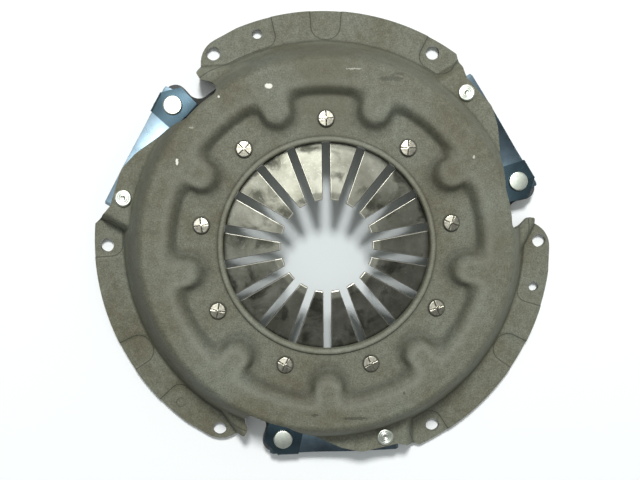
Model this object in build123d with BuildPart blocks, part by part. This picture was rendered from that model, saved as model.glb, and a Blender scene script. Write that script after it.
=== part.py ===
"""Clutch pressure plate: pressed cover, diaphragm spring, cast pressure plate and drive straps.

The origin is the centre of the bolt circle on the face that sits on the flywheel, +Z points at
the gearbox and +X passes through one of the six bolt holes.
"""

import os
from math import atan, cos, degrees, hypot, radians, sin, tan

from build123d import *

# Driving dimensions, in millimetres and degrees
SECTORS = 3                 # the cover, its ledges and its straps repeat three times
SECTOR_TURN = 360 / SECTORS
BOLT_PCD = 290.0            # six M8 bolts into the flywheel
BOLT_COUNT = 6
BOLT_HOLE_D = 9.0
DOWEL_HOLE_D = 6.5
DOWEL_ANGLE = -12.5         # dowel hole beside the bolt hole at 0 degrees
BALANCE_ANGLE = 227.5       # the third dowel hole is closed by a balance plug
BALANCE_SINK = 0.6

# Pressed cover, from the rim inward
SHEET = 4.0
FLANGE_EDGE = 8.0           # rim outside the bolt circle
FLANGE_LAND = 11.6          # from the bolt circle in to the foot of the wall
PAD_RISE = 1.0              # the flange between the pads stands this much higher
PAD_EDGE = 1.0              # from the foot of the wall to a pad
WALL_RUN = 14.9             # the wall leans in by this much
CREST_W = 19.0              # raised ring inside the wall
CREST_RUN = 4.8
CREST_RISE = 4.0
FLOOR_TOP = 37.0            # flat ring that carries the rivets
SHOULDER_BEND = 6.0
FOOT_BEND = 3.0

RIM_BEAD_W = 3.7            # rolled mouth of the cover, around the fingers
RIM_BEAD_H = 1.8
RIM_BEAD_BEND = 1.5

LOBE_COUNT = 9              # tongues of the crest that reach in between the rivets
LOBE_ANGLE = 70.0
LOBE_FOOT_HALF = 13.0
LOBE_HEAD_HALF = 7.2
LOBE_FOOT_REACH = 24.1      # from the crest's inner edge to the tongue's foot
LOBE_HEAD_REACH = 15.0

LEDGE_TOP = 18.5            # raised part of the flange that carries the straps
LEDGE_DRAFT = 20.0
EAR_FOOT_OUT = (-2.5, 4.7)      # feet of the steps at its two ends: outside the bolt
EAR_FOOT_IN = (-10.5, -1.7)     # circle, and at an angle
END_FOOT_OUT = (5.0, 53.1)
END_FOOT_IN = (-10.0, 55.8)

# Cast pressure plate
FACE_Z = 2.5                # friction face, with no disc fitted
PLATE_EDGE = 8.9            # from the foot of the wall in to the plate's rim
PLATE_W = 44.5              # width of the friction face
PLATE_BACK = 14.0
PLATE_STEP = 7.0            # low outer step of the casting
RIDGE_INSET = 17.5          # from the rim to the ridge that the spring presses on
RIDGE_HALF = 3.2
RIDGE_CROWN = 0.9
RIDGE_FLARE = 1.0
RIDGE_SLOPE = 3.0
FACE_BEVEL = 1.0
LUG_ANGLE = 17.3
LUG_INSET = 10.8            # from the bolt circle in to the strap rivets
LUG_TOP = 8.5
LUG_EDGE = 11.3
LUG_HALF_ANGLE = 5.5
LUG_CORNER = 7.5
LUG_ROOT = 8.0

# Diaphragm spring and what it pivots on
SPRING_T = 3.0
SPRING_LIP = 1.0            # outside the ridge
LEVER = 20.6                # from the ridge in to the fulcrum
FINGER_L = 57.4             # from the fulcrum in to the tips
TIP_BEND_L = 5.0
CONE = 5.7                  # the fingers rise towards their tips
FINGERS = 18
SLOT_W = 4.9
SLOT_END_D = 12.0
RING_WIRE = 4.0
PLAY = 0.15                 # between the spring and what it touches

# Nine shouldered rivets that hold the rings
RIVET_COUNT = 9
RIVET_ANGLE = 90.0
RIVET_BODY_D = 7.8
RIVET_NECK_D = 6.5
RIVET_HEAD_D = 10.0
RIVET_HEAD_H = 2.4
RIVET_FOOT_D = 16.0
RIVET_FOOT_H = 2.6
RIVET_EDGE = 0.5            # bevel around every rivet head
MOUTH_LAND = 14.5           # from the rivets in to the cover's mouth

# Straps, their rivets and their clips
STRAP_COVER_ANGLE = 46.6
STRAP_W = 20.5
STRAP_T = 0.9
STRAP_LEAVES = 3
STRAP_OVERHANG = 9.3
STRAP_CHAMFER = 1.5
STRAP_FLAT = 14.5           # flat stretch inward of each rivet
LEAF_STAGGER = 0.7          # each leaf above ends this much further back
LUG_RIVET_D = 8.0
LUG_RIVET_HEAD_D = 12.6
LUG_RIVET_HEAD_H = 1.7
LUG_RIVET_TAIL_D = 12.0
LUG_RIVET_TAIL_H = 2.2
LUG_RIVET_TAIL_SINK = 0.4
COVER_RIVET_D = 6.4
COVER_RIVET_HEAD_D = 10.8
COVER_RIVET_HEAD_H = 2.0
COVER_RIVET_TAIL_H = 1.7
CLIP_T = 1.0
CLIP_W = 20.0
CLIP_FOLD = 1.6             # bend down over the lug
CLIP_BEND = 1.2
CLIP_INNER = 13.0           # from the lug's rivet in to the start of the fold
CLIP_HOOK_L = 2.5           # over the spring's edge
CLIP_TAB_DROP = 3.2
CLIP_GAP = 0.6              # to the casting's step and to the spring


def place(radius, angle, z=None):
    """A point at a radius and an angle about the part's axis."""
    spot = (radius * cos(radians(angle)), radius * sin(radians(angle)))
    return spot if z is None else (*spot, z)


def mitre(slope):
    """How far a corner of the sheet's underside lies behind the same corner on top."""
    return SHEET * tan(radians(slope) / 2)


def slope_of(run, rise):
    """Angle of a wall from the horizontal."""
    return degrees(atan(rise / run))


# Radii, from the bolt circle inward
BOLT_R = BOLT_PCD / 2
FLANGE_R = BOLT_R + FLANGE_EDGE
LUG_R = BOLT_R - LUG_INSET
WALL_FOOT_R = BOLT_R - FLANGE_LAND
SHOULDER_R = WALL_FOOT_R - WALL_RUN
CREST_HEAD_R = SHOULDER_R - CREST_W
CREST_FOOT_R = CREST_HEAD_R - CREST_RUN
PLATE_R = WALL_FOOT_R - PLATE_EDGE
PLATE_BORE_R = PLATE_R - PLATE_W
RIDGE_R = PLATE_R - RIDGE_INSET
RIDGE_WALL_R = RIDGE_R + RIDGE_HALF + RIDGE_FLARE
SPRING_R = RIDGE_R + SPRING_LIP
FULCRUM_R = RIDGE_R - LEVER
TIP_R = FULCRUM_R - FINGER_L
TIP_BEND_R = TIP_R + TIP_BEND_L

# Heights of the sheet, and how far the corners of its underside lie behind those on top
CREST_TOP = FLOOR_TOP + CREST_RISE
FLOOR_UNDER = FLOOR_TOP - SHEET
LEDGE_UNDER = LEDGE_TOP - SHEET
CREST_MITRE = mitre(slope_of(CREST_RUN, CREST_RISE))
WALL_MITRE = mitre(slope_of(WALL_RUN, CREST_TOP - SHEET))
LEDGE_MITRE = mitre(90 - LEDGE_DRAFT)
CUT = 4 * SHEET             # long enough for any hole through the sheet
BEYOND = FLANGE_R + 2 * CUT     # outside the blank, which trims what reaches it

# The spring lies between its rings, and the rivets hug the lower ring
LEAN = radians(CONE)
STAND = SPRING_T / 2 + PLAY + RING_WIRE / 2     # from the middle of the spring to a wire's
SPRING_Z = FLOOR_UNDER - RING_WIRE / 2 - STAND * cos(LEAN)
RING_FOOT = SPRING_Z - STAND * cos(LEAN) - RING_WIRE / 2
RIVET_R = FULCRUM_R - STAND * sin(LEAN) - (RING_WIRE + RIVET_BODY_D) / 2 - PLAY
RIM_R = RIVET_R - MOUTH_LAND
HALF_UP = SPRING_T / 2 / cos(LEAN)              # half of the spring's thickness, upright

# The straps' rivets, from the middle of each strap
STACK = STRAP_LEAVES * STRAP_T
CLIP_Z = LUG_TOP + STACK
STRAP_MID_ANGLE = (LUG_ANGLE + STRAP_COVER_ANGLE) / 2
STRAP_HALF_TURN = radians(STRAP_COVER_ANGLE - LUG_ANGLE) / 2
STRAP_HALF = LUG_R * sin(STRAP_HALF_TURN)
STRAP_CHORD_R = LUG_R * cos(STRAP_HALF_TURN)
STRAP_RISE = LEDGE_UNDER - STACK - LUG_TOP
CLIP_INNER_R = LUG_R - CLIP_INNER
CLIP_DROP_R = CLIP_INNER_R - CLIP_FOLD
CLIP_RISE_R = RIDGE_WALL_R + CLIP_GAP + CLIP_T / 2

TOUCH = 0.01                # two radii nearer than this are the same


def spring_mid(radius):
    """Height of the middle of the spring's thickness."""
    return SPRING_Z + (FULCRUM_R - max(radius, TIP_BEND_R)) * tan(LEAN)


os.makedirs("parts", exist_ok=True)


def write(part, name):
    """Label a finished piece and write it out."""
    part.label = name
    export_step(part, f"parts/{name}.step")


# Clutch cover: the space under one pressed surface is taken out of the space under another


def dome(rim_z, floor_z, base_z, inset, crest_inset, bends):
    """Solid of revolution below one surface of the pressed dome."""
    foot_bend, shoulder_bend = bends
    foot_r, shoulder_r = WALL_FOOT_R - inset, SHOULDER_R - inset
    crest_z = floor_z + CREST_RISE
    with BuildPart() as form:
        with BuildSketch(Plane.XZ) as section:
            with BuildLine():
                Polyline(
                    (0, base_z),
                    (BEYOND, base_z),
                    (BEYOND, rim_z),
                    (foot_r, rim_z),
                    (shoulder_r, crest_z),
                    (CREST_HEAD_R + crest_inset, crest_z),
                    (CREST_FOOT_R + crest_inset, floor_z),
                    (0, floor_z),
                    close=True,
                )
            make_face()
            corners = section.vertices()
            fillet([v for v in corners if abs(v.X - foot_r) < TOUCH], foot_bend)
            fillet([v for v in corners if abs(v.X - shoulder_r) < TOUCH], shoulder_bend)
        revolve(axis=Axis.Z)
    return form.part


def lobe(floor_z, inset):
    """One tongue of the crest, wide on the floor and narrow on top."""
    ends = (
        (floor_z, LOBE_FOOT_HALF - inset, CREST_HEAD_R - LOBE_FOOT_REACH + inset),
        (floor_z + CREST_RISE, LOBE_HEAD_HALF - inset, CREST_HEAD_R - LOBE_HEAD_REACH + inset),
    )
    root_r = CREST_HEAD_R + SHEET
    with BuildPart() as form:
        for z, half, tip in ends:
            with BuildSketch(Plane.XY.offset(z)):
                with BuildLine():
                    Polyline((tip + half, -half), (root_r, -half), (root_r, half), (tip + half, half))
                    ThreePointArc((tip + half, half), (tip, 0), (tip + half, -half))
                make_face()
        loft(ruled=True)
    return form.part


def ledge(base_z, top_z, inset):
    """One raised part of the flange, with drafted sides."""
    ear_out, ear_in, end_out, end_in = [
        Vector(*place(BOLT_R + out, angle))
        for out, angle in (EAR_FOOT_OUT, EAR_FOOT_IN, END_FOOT_OUT, END_FOOT_IN)
    ]
    ear = (ear_out - ear_in).normalized()
    end = (end_out - end_in).normalized()
    ear_shift = Vector(-ear.Y, ear.X) * inset
    end_shift = Vector(end.Y, -end.X) * inset
    corners = [
        Vector(*place(CREST_HEAD_R, EAR_FOOT_IN[1])) + ear_shift,
        ear_in - ear * SHEET * 2 + ear_shift,
        ear_out + ear * (BEYOND - FLANGE_R) * 2 + ear_shift,
        end_out + end * (BEYOND - FLANGE_R) + end_shift,
        end_in - end * (WALL_FOOT_R - SHOULDER_R) + end_shift,
        Vector(*place(CREST_HEAD_R, END_FOOT_IN[1])) + end_shift,
    ]
    with BuildPart() as form:
        with BuildSketch(Plane.XY.offset(base_z)):
            with BuildLine():
                Polyline(*[(c.X, c.Y) for c in corners], close=True)
            make_face()
        extrude(amount=top_z - base_z, taper=LEDGE_DRAFT)
    return form.part


def pad(start, stop, corner, base_z, height):
    """A contact pad of the flange, from one angle to another, open at the rim."""
    with BuildPart() as form:
        with BuildSketch(Plane.XY.offset(base_z)) as face:
            with BuildLine():
                edge = CenterArc((0, 0), WALL_FOOT_R + PAD_EDGE, start, stop - start)
                Polyline(edge @ 0, place(BEYOND, start), place(BEYOND, stop), edge @ 1)
            make_face()
            fillet([v for v in face.vertices() if hypot(v.X, v.Y) < FLANGE_R], corner)
        extrude(amount=height)
    return form.part


# Start angle, stop angle and corner radius of the three pads in each sector
PADS = ((-17.0, 12.0, 6.0), (-34.5, -26.7, 3.5), (-66.5, -57.0, 3.5))

# One sector of the blank's outline between two rims: angle, distance outside the bolt circle
# (negative towards the axis) and corner radius. It rounds the bolt hole, climbs over the ear,
# runs along the notch for the lug at the top of the wall, and returns along the ledge.
SHOULDER_OUT = SHOULDER_R - BOLT_R
OUTLINE = (
    (2.4, FLANGE_EDGE - 0.4, 17.0),
    (4.7, -3.2, 1.0),
    (6.6, -6.6, 1.6),
    (6.8, -11.3, 3.0),
    (4.5, -17.5, 8.0),
    (4.1, SHOULDER_OUT - 0.8, 4.5),
    (10.5, SHOULDER_OUT + 0.5, 60.0),
    (17.4, SHOULDER_OUT, 8.0),
    (23.0, -19.8, 30.0),
    (33.8, -7.4, 25.0),
    (39.3, -3.1, 12.0),
    (49.2, -2.8, 2.5),
    (51.2, -0.6, 6.0),
    (53.4, 5.2, 2.5),
)
RIM_STOP = -8.0             # angles where each rim ends and starts
RIM_START = 54.6


def blank():
    """The sheet's outline in plan: three rims joined by the notches for the lugs."""
    with BuildPart() as form:
        with BuildSketch():
            with BuildLine():
                for sector in range(SECTORS):
                    turn = sector * SECTOR_TURN
                    first = RIM_START - SECTOR_TURN
                    CenterArc((0, 0), FLANGE_R, first + turn, RIM_STOP - first)
                    corners = [place(BOLT_R + out, angle + turn) for angle, out, _ in OUTLINE]
                    start = place(FLANGE_R, RIM_STOP + turn)
                    stop = place(FLANGE_R, RIM_START + turn)
                    FilletPolyline(start, *corners, stop, radius=[bend for _, _, bend in OUTLINE])
            make_face()
        extrude(amount=CREST_TOP + SHEET)
    return form.part


with BuildPart() as bead:
    with BuildSketch(Plane.XZ) as bead_section:
        with Locations((RIM_R + RIM_BEAD_W / 2, FLOOR_TOP)):
            Rectangle(RIM_BEAD_W, 2 * RIM_BEAD_H)
        fillet(bead_section.vertices().group_by(Axis.Y)[-1], RIM_BEAD_BEND)
    revolve(axis=Axis.Z)

TOP_BENDS = (FOOT_BEND, SHOULDER_BEND)
UNDER_BENDS = (FOOT_BEND + SHEET, SHOULDER_BEND - SHEET)

with BuildPart() as cover:
    add(dome(SHEET + PAD_RISE, FLOOR_TOP, 0, 0, 0, TOP_BENDS))
    with PolarLocations(0, LOBE_COUNT, start_angle=LOBE_ANGLE):
        add(lobe(FLOOR_TOP, 0))
    with PolarLocations(0, SECTORS):
        for first, last, bend in PADS:
            add(pad(first, last, bend, SHEET, PAD_RISE), mode=Mode.SUBTRACT)
        add(ledge(SHEET, LEDGE_TOP, 0))
    add(dome(PAD_RISE, FLOOR_UNDER, -SHEET, WALL_MITRE, CREST_MITRE, UNDER_BENDS),
        mode=Mode.SUBTRACT)
    with PolarLocations(0, LOBE_COUNT, start_angle=LOBE_ANGLE):
        add(lobe(FLOOR_UNDER, CREST_MITRE), mode=Mode.SUBTRACT)
    with PolarLocations(0, SECTORS):
        for first, last, bend in PADS:
            add(pad(first, last, bend, 0, PAD_RISE))
        add(ledge(0, LEDGE_UNDER, LEDGE_MITRE), mode=Mode.SUBTRACT)
    add(blank(), mode=Mode.INTERSECT)
    add(bead.part)
    with Locations((0, 0, FLOOR_TOP)):
        Cylinder(RIM_R, CUT, mode=Mode.SUBTRACT)
    with PolarLocations(BOLT_R, BOLT_COUNT):
        Cylinder(BOLT_HOLE_D / 2, CUT, mode=Mode.SUBTRACT)
    with PolarLocations(BOLT_R, SECTORS, start_angle=DOWEL_ANGLE):
        Cylinder(DOWEL_HOLE_D / 2, CUT, mode=Mode.SUBTRACT)
    with Locations((0, 0, FLOOR_TOP)):
        with PolarLocations(RIVET_R, RIVET_COUNT, start_angle=RIVET_ANGLE):
            Cylinder(RIVET_NECK_D / 2, CUT, mode=Mode.SUBTRACT)
    with Locations((0, 0, LEDGE_TOP)):
        with PolarLocations(LUG_R, SECTORS, start_angle=STRAP_COVER_ANGLE):
            Cylinder(COVER_RIVET_D / 2, CUT, mode=Mode.SUBTRACT)
write(cover.part, "clutch_cover")

with BuildPart() as plug:
    with Locations(place(BOLT_R, BALANCE_ANGLE, 0)):
        Cylinder(DOWEL_HOLE_D / 2, SHEET - BALANCE_SINK, align=(Align.CENTER, Align.CENTER, Align.MIN))
write(plug.part, "balance_plug")

# Diaphragm spring and the two rings that it pivots between


with BuildPart() as spring:
    with BuildSketch(Plane.XZ):
        radii = (TIP_R, TIP_BEND_R, SPRING_R)
        with BuildLine():
            Polyline(
                *[(r, spring_mid(r) - HALF_UP) for r in radii],
                *[(r, spring_mid(r) + HALF_UP) for r in reversed(radii)],
                close=True,
            )
        make_face()
    revolve(axis=Axis.Z)
    with BuildSketch():
        with PolarLocations((TIP_R + RIVET_R) / 2, FINGERS, start_angle=RIVET_ANGLE):
            Rectangle(RIVET_R - TIP_R + SLOT_W, SLOT_W)
        with PolarLocations(RIVET_R, FINGERS, start_angle=RIVET_ANGLE):
            Circle(SLOT_END_D / 2)
    extrude(amount=CREST_TOP, mode=Mode.SUBTRACT)
write(spring.part, "diaphragm_spring")

for side, name in ((1, "upper_fulcrum_ring"), (-1, "lower_fulcrum_ring")):
    with BuildPart() as ring:
        with Locations((0, 0, SPRING_Z + side * STAND * cos(LEAN))):
            Torus(FULCRUM_R + side * STAND * sin(LEAN), RING_WIRE / 2)
    write(ring.part, name)


def rivet(levels):
    """A rivet on the Z axis, from (diameter, bottom, top) of each stretch, upper head last."""
    with BuildPart() as form:
        for diameter, bottom, top in levels:
            with BuildSketch(Plane.XY.offset(bottom)):
                Circle(diameter / 2)
            extrude(amount=top - bottom)
        chamfer(form.edges().filter_by(GeomType.CIRCLE).sort_by(Axis.Z)[-1], RIVET_EDGE)
    return form.part


with BuildPart() as fulcrum_rivets:
    with PolarLocations(RIVET_R, RIVET_COUNT, start_angle=RIVET_ANGLE):
        add(rivet((
            (RIVET_FOOT_D, RING_FOOT - RIVET_FOOT_H, RING_FOOT),
            (RIVET_BODY_D, RING_FOOT, FLOOR_UNDER),
            (RIVET_NECK_D, FLOOR_UNDER, FLOOR_TOP),
            (RIVET_HEAD_D, FLOOR_TOP, FLOOR_TOP + RIVET_HEAD_H),
        )))
write(fulcrum_rivets.part, "fulcrum_rivets")

# Cast pressure plate with its three lugs


def lug_face(inner_r):
    """Plan of one lug, from a radius on the plate to its rounded outer corners."""
    low, high = LUG_ANGLE - LUG_HALF_ANGLE, LUG_ANGLE + LUG_HALF_ANGLE
    outer_r = LUG_R + LUG_EDGE
    with BuildSketch(mode=Mode.PRIVATE) as face:
        with BuildLine():
            Polyline(place(inner_r, low), place(outer_r, low), place(outer_r, high),
                     place(inner_r, high), close=True)
        make_face()
        fillet([v for v in face.vertices() if hypot(v.X, v.Y) > LUG_R], LUG_CORNER)
    return face.sketch


with BuildPart() as plate:
    with BuildSketch(Plane.XY.offset(FACE_Z)) as footprint:
        Circle(PLATE_R)
        with PolarLocations(0, SECTORS):
            add(lug_face(PLATE_BORE_R))
        roots = [v for v in footprint.vertices() if abs(hypot(v.X, v.Y) - PLATE_R) < TOUCH]
        fillet([v for v in roots if abs(v.Y) > TOUCH], LUG_ROOT)
    extrude(amount=PLATE_STEP - FACE_Z)
    with BuildSketch(Plane.XY.offset(PLATE_STEP)):
        with PolarLocations(0, SECTORS):
            add(lug_face(CLIP_INNER_R))
    extrude(amount=LUG_TOP - PLATE_STEP)
    ridge_top = spring_mid(RIDGE_R) - HALF_UP - PLAY
    shoulder = ridge_top - RIDGE_CROWN
    with BuildSketch(Plane.XZ) as back:
        with BuildLine():
            ThreePointArc((RIDGE_R - RIDGE_HALF, shoulder), (RIDGE_R, ridge_top),
                          (RIDGE_R + RIDGE_HALF, shoulder))
            Polyline(
                (RIDGE_R + RIDGE_HALF, shoulder),
                (RIDGE_WALL_R, PLATE_STEP),
                (RIDGE_WALL_R, FACE_Z),
                (PLATE_BORE_R, FACE_Z),
                (PLATE_BORE_R, PLATE_BACK),
                (RIDGE_R - RIDGE_HALF - RIDGE_SLOPE, PLATE_BACK),
                (RIDGE_R - RIDGE_HALF, shoulder),
            )
        make_face()
    revolve(axis=Axis.Z)
    with BuildSketch(Plane.XY.offset(FACE_Z)):
        Circle(PLATE_BORE_R)
    extrude(amount=PLATE_BACK, mode=Mode.SUBTRACT)
    with BuildSketch(Plane.XY.offset(FACE_Z)):
        with PolarLocations(LUG_R, SECTORS, start_angle=LUG_ANGLE):
            Circle(LUG_RIVET_D / 2)
    extrude(amount=LUG_TOP, mode=Mode.SUBTRACT)
    with BuildSketch(Plane.XY.offset(FACE_Z)):
        with PolarLocations(LUG_R, SECTORS, start_angle=LUG_ANGLE):
            Circle(LUG_RIVET_TAIL_D / 2)
    extrude(amount=LUG_RIVET_TAIL_H, mode=Mode.SUBTRACT)
    face_rims = plate.edges().filter_by(GeomType.CIRCLE).group_by(Axis.Z)[0]
    chamfer([e for e in face_rims if abs(e.radius - PLATE_BORE_R) < TOUCH], FACE_BEVEL)
write(plate.part, "pressure_plate")

# Drive straps: packs of thin leaves from the ledges of the cover to the lugs of the plate


# Corners of the clip's plate: across the lug, and outward from its rivet
CLIP_PLAN = ((-10.9, -CLIP_INNER), (-12.1, 8.7), (0.4, 11.8), (12.4, 3.8), (11.3, -CLIP_INNER))


def sector_frame(angle, sector):
    """Horizontal plane through the axis, turned so that Y points outward at an angle."""
    turn = radians(angle + sector * SECTOR_TURN)
    return Plane(origin=(0, 0, 0), x_dir=(sin(turn), -cos(turn), 0), z_dir=(0, 0, 1))


def upright(frame, out=0.0):
    """Vertical plane facing inward across a sector's frame, at a distance from the axis."""
    return Plane(origin=frame.from_local_coords((0, out, 0)), x_dir=frame.x_dir, z_dir=-frame.y_dir)


def radial(frame):
    """Vertical plane through the axis: X outward, Y up."""
    return Plane(origin=(0, 0, 0), x_dir=frame.y_dir, z_dir=frame.x_dir)


def strap_leaf(sector, level):
    """One leaf: flat at both rivets and sloping up from the lug to the ledge."""
    low = LUG_TOP + level * STRAP_T
    high = low + STRAP_RISE
    lug_end = STRAP_HALF + STRAP_OVERHANG - level * LEAF_STAGGER
    cover_end = -STRAP_HALF - STRAP_OVERHANG + level * LEAF_STAGGER
    knee = STRAP_HALF - STRAP_FLAT
    under_side = [(cover_end, high), (-knee, high), (knee, low), (lug_end, low)]
    upper_side = [(x, z + STRAP_T) for x, z in reversed(under_side)]
    frame = sector_frame(STRAP_MID_ANGLE, sector)
    with BuildPart() as form:
        with BuildSketch(upright(frame, STRAP_CHORD_R)):
            with BuildLine():
                Polyline(*under_side, *upper_side, close=True)
            make_face()
        extrude(amount=STRAP_W / 2, both=True)
        chamfer(form.edges().filter_by(Axis.Z), STRAP_CHAMFER)
        turn = sector * SECTOR_TURN
        with Locations(place(LUG_R, LUG_ANGLE + turn, low)):
            Cylinder(LUG_RIVET_D / 2, 4 * STRAP_T, mode=Mode.SUBTRACT)
        with Locations(place(LUG_R, STRAP_COVER_ANGLE + turn, high)):
            Cylinder(COVER_RIVET_D / 2, 4 * STRAP_T, mode=Mode.SUBTRACT)
    return form.part


def clip(sector):
    """Keeper plate on the strap's end, with a hook that holds the spring's edge down."""
    frame = sector_frame(LUG_ANGLE, sector)
    top = CLIP_Z + CLIP_T
    mid = CLIP_Z + CLIP_T / 2
    floor = PLATE_STEP + CLIP_GAP + CLIP_T / 2
    hook = spring_mid(SPRING_R) + HALF_UP + CLIP_GAP + CLIP_T / 2
    plan = [Vector(x, LUG_R + out) for x, out in CLIP_PLAN]
    with BuildPart() as form:
        with BuildSketch(frame.offset(CLIP_Z)):
            with BuildLine():
                Polyline(*[(v.X, v.Y) for v in plan], close=True)
            make_face()
        extrude(amount=CLIP_T)
        with BuildSketch(radial(frame)):
            with BuildLine():
                FilletPolyline(
                    (LUG_R - LUG_RIVET_D, mid), (CLIP_DROP_R, mid), (CLIP_DROP_R, floor),
                    (CLIP_RISE_R, floor), (CLIP_RISE_R, hook), (SPRING_R - CLIP_HOOK_L, hook),
                    radius=(CLIP_FOLD, CLIP_BEND, CLIP_BEND, CLIP_BEND),
                )
            trace(line_width=CLIP_T)
        extrude(amount=CLIP_W / 2, both=True)
        edge = plan[2] - plan[1]
        along = edge.normalized()
        spot = (plan[1] + plan[2]) / 2 + Vector(along.Y, -along.X) * CLIP_T / 2
        with BuildSketch(frame.offset(top - CLIP_TAB_DROP)):
            with Locations((spot.X, spot.Y)):
                Rectangle(edge.length, CLIP_T, rotation=degrees(atan(edge.Y / edge.X)))
        extrude(amount=CLIP_TAB_DROP)
        with Locations(frame.offset(CLIP_Z)):
            with Locations((0, LUG_R, 0)):
                Cylinder(LUG_RIVET_D / 2, 4 * CLIP_T, mode=Mode.SUBTRACT)
    return form.part


for sector, letter in enumerate("abc"):
    for level in range(STRAP_LEAVES):
        write(strap_leaf(sector, level), f"drive_strap_{letter}_leaf_{level + 1}")
    write(clip(sector), f"retracting_clip_{letter}")

clip_top = CLIP_Z + CLIP_T
with BuildPart() as lug_rivets:
    with PolarLocations(LUG_R, SECTORS, start_angle=LUG_ANGLE):
        add(rivet((
            (LUG_RIVET_TAIL_D, FACE_Z + LUG_RIVET_TAIL_SINK, FACE_Z + LUG_RIVET_TAIL_H),
            (LUG_RIVET_D, FACE_Z + LUG_RIVET_TAIL_H, clip_top),
            (LUG_RIVET_HEAD_D, clip_top, clip_top + LUG_RIVET_HEAD_H),
        )))
write(lug_rivets.part, "lug_rivets")

strap_under = LEDGE_UNDER - STACK
with BuildPart() as strap_cover_rivets:
    with PolarLocations(LUG_R, SECTORS, start_angle=STRAP_COVER_ANGLE):
        add(rivet((
            (COVER_RIVET_HEAD_D, strap_under - COVER_RIVET_TAIL_H, strap_under),
            (COVER_RIVET_D, strap_under, LEDGE_TOP),
            (COVER_RIVET_HEAD_D, LEDGE_TOP, LEDGE_TOP + COVER_RIVET_HEAD_H),
        )))
write(strap_cover_rivets.part, "strap_cover_rivets")
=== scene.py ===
"""Scene of a clutch pressure plate: cover, spring, straps and rivets, with floor, light and camera.

Lengths are in millimetres and angles in degrees until a mesh is written, which is in metres.
The part lies on its flange, as it does on a flywheel, with its axis along Z.
"""

import bmesh
import bpy
import numpy as np
from mathutils import Matrix, Vector


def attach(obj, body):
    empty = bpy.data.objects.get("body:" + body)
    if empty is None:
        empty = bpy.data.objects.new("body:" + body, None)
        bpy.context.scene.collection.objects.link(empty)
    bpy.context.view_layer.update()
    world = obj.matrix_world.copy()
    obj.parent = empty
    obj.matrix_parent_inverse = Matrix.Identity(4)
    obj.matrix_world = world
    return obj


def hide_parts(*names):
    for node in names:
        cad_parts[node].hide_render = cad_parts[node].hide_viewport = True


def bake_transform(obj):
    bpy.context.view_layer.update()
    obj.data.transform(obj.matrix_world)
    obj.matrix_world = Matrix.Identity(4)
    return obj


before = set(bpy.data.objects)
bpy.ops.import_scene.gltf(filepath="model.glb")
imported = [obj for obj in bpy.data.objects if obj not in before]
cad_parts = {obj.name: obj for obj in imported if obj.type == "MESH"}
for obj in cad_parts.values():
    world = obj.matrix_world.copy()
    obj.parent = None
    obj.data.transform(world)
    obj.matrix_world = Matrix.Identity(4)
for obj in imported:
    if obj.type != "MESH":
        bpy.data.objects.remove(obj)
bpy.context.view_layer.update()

MM = 0.001
SAME_SPOT = 1e-6            # points closer than this, in metres, are merged
SECTOR = 120.0              # the cover, straps and lugs repeat three times
SECTORS = (0.0, 120.0, 240.0)

# The pressed sheet
SHEET = 4.0
MOUTH_R = 65.49
FLANGE_R = 153.0
BOLT_R = 145.0
FLOOR_TOP = 37.0
CREST_RISE = 4.0
CREST_FOOT_R = 94.7
CREST_HEAD_R = 101.3
SHOULDER_R = 118.5
WALL_FOOT_R = 133.4
WALL_TURN = 34.05           # half the angle of the wall, and of the other slopes of the sheet
CREST_TURN = 19.9
LEDGE_TURN = 35.0
RING_SLOPE = (0.04, 0.85)   # start and length of the slope's curve, as shares of the crest's slope
TONGUE_SLOPE = (0.16, 0.72)
CREST_BLEND = 7.0           # how softly two slopes meet: a tongue and the ring
SHOULDER_BLEND = (9.0, 6.0)  # the crest and the wall, on top and underneath
FLANGE_BLEND = (2.0, 7.0)   # the wall and the flange
LEDGE_BLEND = (2.0, 6.0)    # the flange and a ledge
BEAD_W = 3.7
BEAD_H = 1.8
BEAD_BEND = 1.5
TONGUES = 9
TONGUE_ANGLE = 70.0
TONGUE_FOOT = (13.0, 75.4)  # half width and tip radius, on the floor and on top
TONGUE_HEAD = (7.2, 84.5)
LEDGE_TOP = 18.5
LEDGE_DRAFT = 20.0
LEDGE_CORNER = 2.0          # how softly a ledge's two sides meet, and how softly they meet its top
LEDGE_EDGE = 4.5
EAR_OUT = (142.5, 4.7)      # radius and angle of the feet of the steps at its two ends
EAR_IN = (134.5, -1.7)
END_OUT = (150.0, 53.1)
END_IN = (135.0, 55.8)
PAD_RISE = 1.0
PAD_STEP_W = 1.3
PAD_R = 134.4
PADS = (                    # angles of their two sides, corner radius
    (-17.0, 12.0, 7.0),
    (-34.5, -26.7, 8.5),
    (-66.5, -57.0, 7.5),
)
WALL_SLOPE = (FLOOR_TOP - PAD_RISE) / (WALL_FOOT_R - SHOULDER_R)

# The blank's outline between two rims: angle, distance outside the bolt circle, corner radius
OUTLINE = (
    (2.4, 7.6, 17.0),
    (4.7, -3.2, 1.0),
    (6.6, -6.6, 1.6),
    (6.8, -11.3, 3.0),
    (4.5, -17.5, 8.0),
    (4.1, -27.3, 4.5),
    (10.5, -26.0, 60.0),
    (17.4, -26.5, 8.0),
    (23.0, -19.8, 30.0),
    (33.8, -9.0, 25.0),
    (39.3, -4.2, 12.0),
    (49.2, -3.4, 2.5),
    (51.2, -0.6, 6.0),
    (53.4, 5.2, 2.5),
)
RIM_STOP = -8.0
RIM_START = 54.6
RIM_STEPS = 109
COVER_CREASE = 40.0
BOLT_D = 9.0
DOWEL_D = 6.5
DOWEL_ANGLE = -12.5

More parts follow.
